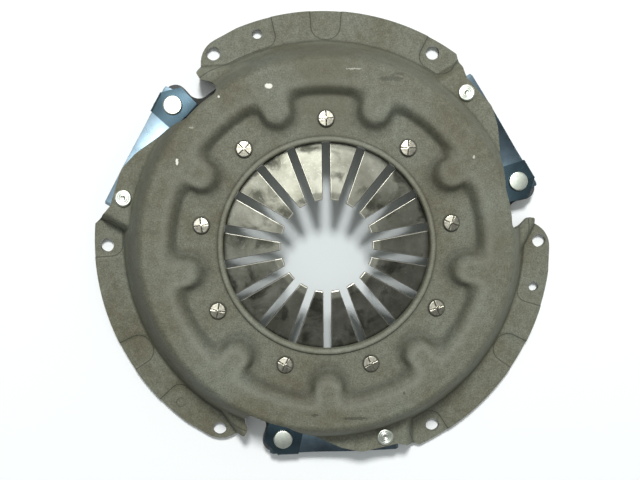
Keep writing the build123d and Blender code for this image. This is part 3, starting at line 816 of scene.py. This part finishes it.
def linear(colour):
    """Linear RGBA of an sRGB hex colour."""
    parts = np.array([int(colour[i:i + 2], 16) for i in (1, 3, 5)]) / 255
    parts = np.where(parts <= 0.04045, parts / 12.92, ((parts + 0.055) / 1.055) ** 2.4)
    return (*parts, 1.0)


def put(tree, kind, inputs=(), stops=(), **settings):
    """Adds a shader node and returns its outputs. Its inputs go by name or by place, and each takes a
    number, a hex colour or a link. The stops of a ramp are (position, colour)."""
    made = tree.nodes.new("ShaderNode" + kind)
    for key, value in settings.items():
        setattr(made, key, value)
    for key, value in inputs.items() if isinstance(inputs, dict) else enumerate(inputs):
        socket = made.inputs[key]
        if isinstance(value, bpy.types.NodeSocket):
            tree.links.new(value, socket)
        elif isinstance(value, str):
            socket.default_value = linear(value)
        else:
            socket.default_value = value
    for place, (position, colour) in enumerate(stops):
        elements = made.color_ramp.elements
        element = elements[place] if place < len(elements) else elements.new(1.0)
        element.position = position
        element.color = linear(colour)
    return made.outputs


def new_material(name):
    """An empty material and the object coordinates in it."""
    material = bpy.data.materials.new(name)
    material.use_nodes = True
    material.node_tree.nodes.clear()
    tree = material.node_tree
    return material, tree, put(tree, "TexCoord")["Object"]


def finish_material(tree, **inputs):
    """The surface shader and the output."""
    named = {key.replace("_", " "): value for key, value in inputs.items()}
    put(tree, "OutputMaterial", {"Surface": put(tree, "BsdfPrincipled", named)[0]})


def axis_distance(tree, where):
    """Distance to the part's axis: the length of X and Y alone."""
    flat = put(tree, "VectorMath", (where, (1.0, 1.0, 0.0)), operation="MULTIPLY")[0]
    return put(tree, "VectorMath", (flat,), operation="LENGTH")["Value"]


def cover_spot(radius, angle, height):
    """A point of the cover in metres."""
    return (*(np.array(polar(radius, angle)) * MM).tolist(), height * MM)


def mark(tree, where, ragged, radius, angle, reach, stretch, strength):
    """The strength inside a mark about a point in plan and 0 outside it: distance to the point, each
    way times its stretch, after a noise has moved the place by up to half of ragged."""
    cloud = put(tree, "TexNoise", {"Vector": where, "Scale": 900.0, "Detail": 3.0})["Color"]
    shift = put(tree, "VectorMath", (cloud, (0.5, 0.5, 0.5)), operation="SUBTRACT")[0]
    moved = put(tree, "VectorMath", (shift, (ragged,) * 3, where), operation="MULTIPLY_ADD")[0]
    away = put(tree, "VectorMath", (moved, cover_spot(radius, angle, 0.0)), operation="SUBTRACT")[0]
    flat = put(tree, "VectorMath", (away, stretch), operation="MULTIPLY")[0]
    size = put(tree, "VectorMath", (flat,), operation="LENGTH")["Value"]
    inside = put(tree, "MapRange", {
        "Value": size, "From Min": reach, "From Max": 1.35 * reach, "To Min": 1.0, "To Max": 0.0,
    })["Result"]
    return put(tree, "Math", (inside, strength), operation="MULTIPLY")[0]


def rivet_shadow_ring(tree, where):
    """0.7 around each of the nine rivets, a painted shadow ring round the foot of the head, and 0 from
    6.2 mm off: the turn about the axis is folded onto one rivet, and the distance is taken to that."""
    parts = put(tree, "SeparateXYZ", (where,))
    turn = put(tree, "Math", (parts["Y"], parts["X"]), operation="ARCTAN2")[0]
    r = axis_distance(tree, where)
    # the rivets are 40 degrees apart, and one lies at 90
    middle, half = np.pi / 2, np.radians(20)
    folded = put(tree, "Math", (turn, middle + half, middle - half), operation="WRAP")[0]
    off = put(tree, "Math", (folded, middle), operation="SUBTRACT")[0]
    cosine, sine = (put(tree, "Math", (off,), operation=ratio)[0] for ratio in ("COSINE", "SINE"))
    x, y = (put(tree, "Math", (r, ratio), operation="MULTIPLY")[0] for ratio in (cosine, sine))
    spot = put(tree, "CombineXYZ", {"X": x, "Y": y})[0]
    away = put(tree, "VectorMath", (spot, (RIVET_R * MM, 0.0, 0.0)), operation="DISTANCE")["Value"]
    return put(tree, "MapRange", {
        "Value": away, "From Min": 0.0052, "From Max": 0.0062, "To Min": 0.7, "To Max": 0.0,
    })["Result"]


def phosphated_steel():
    """Pressed mild steel with a matt grey-green phosphate: a fine salt-like grain, brownish clouds, no
    shine. Painted shade darkens the folds, the pads' edges and a ring round each rivet, a painted highlight
    pales the crest's edge and the bead, dirt marks the crest, and a few chips show the metal beneath."""
    material, tree, where = new_material("phosphated_steel")
    cloud = put(tree, "TexNoise", {"Vector": where, "Scale": 19.0, "Detail": 6.0, "Roughness": 0.7})
    mottle = put(tree, "TexNoise", {"Vector": where, "Scale": 240.0, "Detail": 4.0, "Roughness": 0.65})
    # the crystals are under 0.1 mm, drawn at 1 mm so that they show
    grain = put(tree, "TexNoise", {"Vector": where, "Scale": 1050.0, "Detail": 2.0, "Roughness": 0.8})["Fac"]
    base = put(tree, "ValToRGB", (cloud["Fac"],), ((0.36, "#77745f"), (0.5, "#838472"), (0.64, "#8b8f7f")))[0]
    patch = put(tree, "ValToRGB", (mottle["Fac"],), ((0.3, "#d2d2cc"), (0.7, "#ffffff")))[0]
    speck = put(tree, "ValToRGB", (grain,), ((0.3, "#8a8a86"), (0.7, "#ffffff")))[0]
    grained = base
    for share, layer in ((0.8, patch), (0.7, speck)):
        layers = {"Factor": share, 6: grained, 7: layer}
        grained = put(tree, "Mix", layers, data_type="RGBA", blend_type="MULTIPLY")[2]
    # browner phosphate; the patches at 76 and 93 mm near 90 degrees are painted shade from the crest
    for radius, angle, reach in BROWN_AND_SHADED_PATCHES:
        centre = cover_spot(radius, angle, FLOOR_TOP + 1)
        away = put(tree, "VectorMath", (where, centre), operation="DISTANCE")["Value"]
        part = put(tree, "MapRange", {
            "Value": away, "From Min": 0.3 * reach, "From Max": 1.6 * reach, "To Min": 0.4, "To Max": 0.0,
        }, interpolation_type="SMOOTHSTEP")["Result"]
        grained = put(tree, "Mix", {"Factor": part, 6: grained, 7: "#5c5945"}, data_type="RGBA")[2]
    fold_shade, pad_line, painted_sheen = (
        put(tree, "Attribute", attribute_name=name)["Fac"] for name in ("fold_shade", "pad_edge", "painted_sheen")
    )
    # painted shade along the 1 mm step at a contact pad's edge, where its attribute is 0.5
    line = put(tree, "Math", (pad_line, 0.5, 0.06), operation="COMPARE")[0]
    line = put(tree, "Math", (line, 0.6), operation="MULTIPLY")[0]
    # painted shade of the folds, round the rivets and along the pads' edges, with the real dirt marks
    shade_and_dirt = put(tree, "Math", (fold_shade, rivet_shadow_ring(tree, where)), operation="MAXIMUM")[0]
    for dark in (line, *(mark(tree, where, DIRT_RAGGED, *values) for values in DIRT_MARKS)):
        shade_and_dirt = put(tree, "Math", (shade_and_dirt, dark), operation="MAXIMUM")[0]
    shaded_and_stained = put(tree, "Mix", {"Factor": shade_and_dirt, 6: grained, 7: "#20211b"}, data_type="RGBA")[2]
    # painted highlight and reflection: the crest's edge and the bead are mixed towards a paler #a3a699
    colour = put(tree, "Mix", {"Factor": painted_sheen, 6: shaded_and_stained, 7: "#a3a699"}, data_type="RGBA")[2]
    for values in CHIPS:
        chip = mark(tree, where, CHIP_RAGGED, *values)
        colour = put(tree, "Mix", {"Factor": chip, 6: colour, 7: "#f1f0e4"}, data_type="RGBA")[2]
    relief = put(tree, "Bump", {"Height": grain, "Strength": 0.4, "Distance": 0.00012})[0]
    finish_material(tree, Base_Color=colour, Roughness=0.68, Specular_IOR_Level=0.35, Normal=relief)
    return material


def spring_steel():
    """Hardened spring steel under a film of oil: grey-brown, with dark smears, fingerprints and
    fine bright scratches that run along the fingers."""
    material, tree, where = new_material("spring_steel")
    cloud, smear, streak = (
        put(tree, "TexNoise", {"Vector": where, **kind})["Fac"] for kind in (
            {"Scale": 55.0, "Detail": 6.0, "Roughness": 0.6},
            {"Scale": 62.0, "Detail": 4.0, "Roughness": 0.55, "Distortion": 0.5},
            {"Scale": 420.0, "Detail": 6.0, "Distortion": 3.0},
        )
    )
    clean = put(tree, "ValToRGB", (cloud,), ((0.3, "#47473e"), (0.5, "#5b5b52"), (0.7, "#6e6e65")))[0]
    oil = put(tree, "ValToRGB", (smear,), ((0.36, "#54564a"), (0.47, "#ffffff")))[0]
    fine = put(tree, "ValToRGB", (streak,), ((0.62, "#000000"), (0.70, "#ffffff")))[0]
    edge_glint = put(tree, "Attribute", attribute_name="edge_glint")["Fac"]
    colour = clean
    # the fingers' edges and tips take a painted highlight, #c9c7bb
    for share, layer, blend in ((0.7, oil, "MULTIPLY"), (0.07, fine, "ADD"), (edge_glint, "#c9c7bb", "MIX")):
        layers = {"Factor": share, 6: colour, 7: layer}
        colour = put(tree, "Mix", layers, data_type="RGBA", blend_type=blend)[2]
    rough = put(tree, "MapRange", {"Value": smear, "To Min": 0.46, "To Max": 0.22})["Result"]
    relief = put(tree, "Bump", {"Height": streak, "Strength": 0.2, "Distance": 0.00005})[0]
    finish_material(tree, Base_Color=colour, Metallic=0.94, Roughness=rough, Normal=relief)
    return material


def plated_rivet(name, colour, dull, relief):
    """Rivet steel with a thin bright plating, satin from tumbling."""
    material, tree, where = new_material(name)
    grain = put(tree, "TexNoise", {"Vector": where, "Scale": 700.0, "Detail": 3.0})["Fac"]
    tone = put(tree, "ValToRGB", (grain,), ((0.3, dull), (0.7, colour)))[0]
    rise = put(tree, "Bump", {"Height": grain, "Strength": relief, "Distance": 0.00005})[0]
    finish_material(tree, Base_Color=tone, Metallic=1.0, Roughness=0.28, Normal=rise)
    return material


def blued_steel():
    """Tempered strip steel, blue-black and smooth from rolling: dark until it mirrors a lamp."""
    material, tree, where = new_material("blued_steel")
    cloud = put(tree, "TexNoise", {"Vector": where, "Scale": 90.0, "Detail": 4.0})["Fac"]
    tone = put(tree, "ValToRGB", (cloud,), ((0.3, "#55646d"), (0.7, "#697a84")))[0]
    rough = put(tree, "MapRange", {"Value": cloud, "To Min": 0.22, "To Max": 0.34})["Result"]
    finish_material(tree, Base_Color=tone, Metallic=1.0, Roughness=rough)
    return material


def blued_clip():
    """Stamped and blued spring clip: a thin blue oxide film, nearly black away from the light."""
    material, tree, where = new_material("blued_clip")
    cloud = put(tree, "TexNoise", {"Vector": where, "Scale": 120.0, "Detail": 4.0})["Fac"]
    tone = put(tree, "ValToRGB", (cloud,), ((0.3, "#20292c"), (0.7, "#29353a")))[0]
    rough = put(tree, "MapRange", {"Value": cloud, "To Min": 0.2, "To Max": 0.32})["Result"]
    finish_material(
        tree, Base_Color=tone, Roughness=rough, Specular_IOR_Level=0.75, Specular_Tint="#a6cfe4",
    )
    return material


def grey_iron():
    """Grey cast iron: turned faces with fine rings on the flywheel side, and a darker sand-cast skin
    elsewhere, with painted shade blackening it under the cover."""
    material, tree, where = new_material("grey_iron")
    cast = put(tree, "TexNoise", {"Vector": where, "Scale": 420.0, "Detail": 5.0, "Roughness": 0.7})["Fac"]
    radius = axis_distance(tree, where)
    # grinding lay of 0.6 mm
    lay = put(tree, "Math", (radius, 5200.0), operation="MULTIPLY")[0]
    lines = {"W": lay, "Scale": 1.0, "Detail": 2.0}
    rings = put(tree, "TexNoise", lines, noise_dimensions="1D")["Fac"]
    height = put(tree, "SeparateXYZ", (where,))["Z"]
    turned_side = put(tree, "MapRange", {
        "Value": height, "From Min": 0.0026, "From Max": 0.0030, "To Min": 1.0, "To Max": 0.0,
    })["Result"]
    skin = put(tree, "ValToRGB", (cast,), ((0.3, "#3c3d3d"), (0.7, "#4e4f4e")))[0]
    # painted shade under the cover: full inside 126 mm from the axis, gone at 134 mm
    under_rim_shade = put(tree, "MapRange", {
        "Value": radius, "From Min": 0.126, "From Max": 0.134, "To Min": 0.75, "To Max": 0.0,
    })["Result"]
    skin = put(tree, "Mix", {"Factor": under_rim_shade, 6: skin, 7: "#12140f"}, data_type="RGBA")[2]
    bright = put(tree, "ValToRGB", (rings,), ((0.3, "#868580"), (0.7, "#aaa8a2")))[0]
    tone = put(tree, "Mix", {"Factor": turned_side, 6: skin, 7: bright}, data_type="RGBA")[2]
    rough = put(tree, "MapRange", {"Value": turned_side, "To Min": 0.62, "To Max": 0.32})["Result"]
    either = put(tree, "Mix", {"Factor": turned_side, 2: cast, 3: rings})[0]
    relief = put(tree, "Bump", {"Height": either, "Strength": 0.5, "Distance": 0.0002})[0]
    finish_material(tree, Base_Color=tone, Metallic=0.75, Roughness=rough, Normal=relief)
    return material


def ring_wire():
    """Drawn steel wire, grey and satin."""
    material, tree, where = new_material("ring_wire")
    grain = put(tree, "TexNoise", {"Vector": where, "Scale": 500.0, "Detail": 3.0})["Fac"]
    tone = put(tree, "ValToRGB", (grain,), ((0.3, "#6d6c69"), (0.7, "#84837f")))[0]
    finish_material(tree, Base_Color=tone, Metallic=0.9, Roughness=0.38)
    return material


steel = phosphated_steel()
make_cover(steel)
make_spring(spring_steel())
blued = blued_steel()
clip_steel = blued_clip()
for letter, turn in zip("abc", SECTORS):
    for level in range(STRAP_LEAVES):
        make_leaf(letter, turn, level, blued)
    make_clip(letter, turn, clip_steel)
make_fulcrum_rivets(plated_rivet("nickel_rivet", "#a5a294", "#7b786d", 0.4))
make_strap_rivets(plated_rivet("zinc_rivet", "#d6dbcf", "#c4c9bd", 0.05))
carry_over("pressure_plate", "cast_plate", "pressure_plate", grey_iron(), bevel=0.5)
carry_over("balance_plug", "dowel_plug", "cover", steel, bevel=0.3)
wire = ring_wire()
for node in ("upper_fulcrum_ring", "lower_fulcrum_ring"):
    carry_over(node, f"wire_{node}", "cover", wire, bevel=0.01, crease=60)


# Floor, light and camera


def seen_or_mirrored(tree):
    """1 for a ray from the camera, and 1 for one that metal reflects or glass lets through."""
    path = put(tree, "LightPath")
    either = (path["Is Glossy Ray"], path["Is Transmission Ray"])
    return path["Is Camera Ray"], put(tree, "Math", either, operation="MAXIMUM")[0]


def make_floor():
    """A white table top under the flange, with painted shade around the part, seen only from above and
    open to the lamp below it.
    """
    material, tree, where = new_material("white_table")
    seen = put(tree, "Math", seen_or_mirrored(tree), operation="MAXIMUM")[0]
    away = put(tree, "VectorMath", (where,), operation="LENGTH")["Value"]
    # painted shade: the table is darker within 70 mm of the axis, whitening out to 120 mm
    white = put(tree, "ValToRGB", (away,), ((0.07, "#e2e9e9"), (0.12, "#fcffff")))[0]
    tone = put(tree, "Mix", {"Factor": seen, 6: "#b4bab9", 7: white}, data_type="RGBA")[2]
    below = put(tree, "NewGeometry")["Backfacing"]
    shadow = put(tree, "LightPath")["Is Shadow Ray"]
    open_to = put(tree, "Math", (below, shadow), operation="MAXIMUM")[0]
    paint = put(tree, "BsdfDiffuse", {"Color": tone})[0]
    table = put(tree, "MixShader", (open_to, paint, put(tree, "BsdfTransparent")[0]))[0]
    put(tree, "OutputMaterial", {"Surface": table})
    half, z = 3000, -0.3
    points = [(-half, -half, z), (half, -half, z), (half, half, z), (-half, half, z)]
    mesh = bpy.data.meshes.new("floor")
    mesh.from_pydata((np.array(points) * MM).tolist(), [], [(0, 1, 2, 3)])
    mesh.materials.append(material)
    floor = add_object("floor", mesh)


def make_lamps():
    """A high lamp towards +Y, a small window beside the camera and a dim lamp for the underside, each a
    disk that faces the part."""
    for name, spot, size, power in (
        ("key", (-0.05, 1.46, 2.22), 0.54, 60.0),
        ("window", (-0.19, 0.50, 2.40), 0.60, 17.0),
        ("below", (0.30, -0.60, -2.40), 1.20, 22.0),
    ):
        lamp = bpy.data.lights.new(name, "AREA")
        lamp.shape = "DISK"
        lamp.size = size
        lamp.energy = power
        holder = add_object(name, lamp)
        # the window is only there to be mirrored
        holder.visible_diffuse = name != "window"
        holder.location = spot
        holder.rotation_euler = Vector(spot).to_track_quat("Z", "Y").to_euler()


def make_room():
    """White behind the part, and for light and mirrors a room: a wide glow around the window, and walls
    that are brightest at the floor."""
    world = bpy.data.worlds.new("room")
    bpy.context.scene.world = world
    world.use_nodes = True
    tree = world.node_tree
    tree.nodes.clear()
    where = put(tree, "TexCoord")["Generated"]
    up = put(tree, "SeparateXYZ", (where,))["Z"]
    camera, mirrored = seen_or_mirrored(tree)
    # the glow falls off as the 18th power of the cosine from its middle: half of it lies within 16 degrees
    facing = put(tree, "VectorMath", (where, (-0.098, 0.177, 0.979)), operation="DOT_PRODUCT")["Value"]
    ahead = put(tree, "Math", (facing, 0.0), operation="MAXIMUM")[0]
    narrow = put(tree, "Math", (ahead, 18.0), operation="POWER")[0]
    # most of the glow is only there to be mirrored
    bright = put(tree, "MapRange", {"Value": mirrored, "To Min": 1.6, "To Max": 3.4})["Result"]
    glow = put(tree, "Math", (narrow, bright), operation="MULTIPLY")[0]
    walls = put(tree, "MapRange", {"Value": up, "To Min": 0.62, "To Max": 0.03})["Result"]
    # the wall towards +X and -Y is the brightest
    side = put(tree, "VectorMath", (where, (0.85, -0.25, 0.0)), operation="DOT_PRODUCT")["Value"]
    share = put(tree, "MapRange", {
        "Value": side, "From Min": -0.8, "From Max": 0.8, "To Min": 0.35, "To Max": 1.65,
    })["Result"]
    lit = put(tree, "Math", (walls, share), operation="MULTIPLY")[0]
    sky = put(tree, "Math", (glow, lit), operation="ADD")[0]
    above = put(tree, "Math", (up, 0.0), operation="GREATER_THAN")[0]
    level = put(tree, "Math", (sky, above), operation="MULTIPLY")[0]
    # metal sees the white background too, up to 15 degrees above the floor, and the room above it
    low = put(tree, "MapRange", {
        "Value": up, "From Min": 0.1, "From Max": 0.26, "To Min": 1.0, "To Max": 0.0,
    })["Result"]
    part = put(tree, "Math", (mirrored, low), operation="MULTIPLY")[0]
    white = put(tree, "Math", (camera, part), operation="MAXIMUM")[0]
    strength = put(tree, "Mix", {"Factor": white, 2: level, 3: 0.98})[0]
    air = put(tree, "Background", {"Color": "#f8fcfc", "Strength": strength})[0]
    put(tree, "OutputWorld", {"Surface": air})


def make_camera():
    """A lens of 46.7 mm, 560 mm above the flange and almost on the axis."""
    camera = bpy.data.cameras.new("camera")
    camera.lens = 46.72
    camera.sensor_width = 36.0
    holder = add_object("camera", camera)
    # its right, its up and its back
    turn = Matrix((
        (0.99934, -0.00858, 0.03535),
        (0.01084, 0.99787, -0.06426),
        (-0.03472, 0.0646, 0.99731),
    )).transposed().to_4x4()
    holder.matrix_world = Matrix.Translation((-0.02263, 0.03775, 0.55948)) @ turn
    bpy.context.scene.camera = holder


make_floor()
make_lamps()
make_room()
make_camera()
bpy.context.scene.view_settings.view_transform = "Standard"
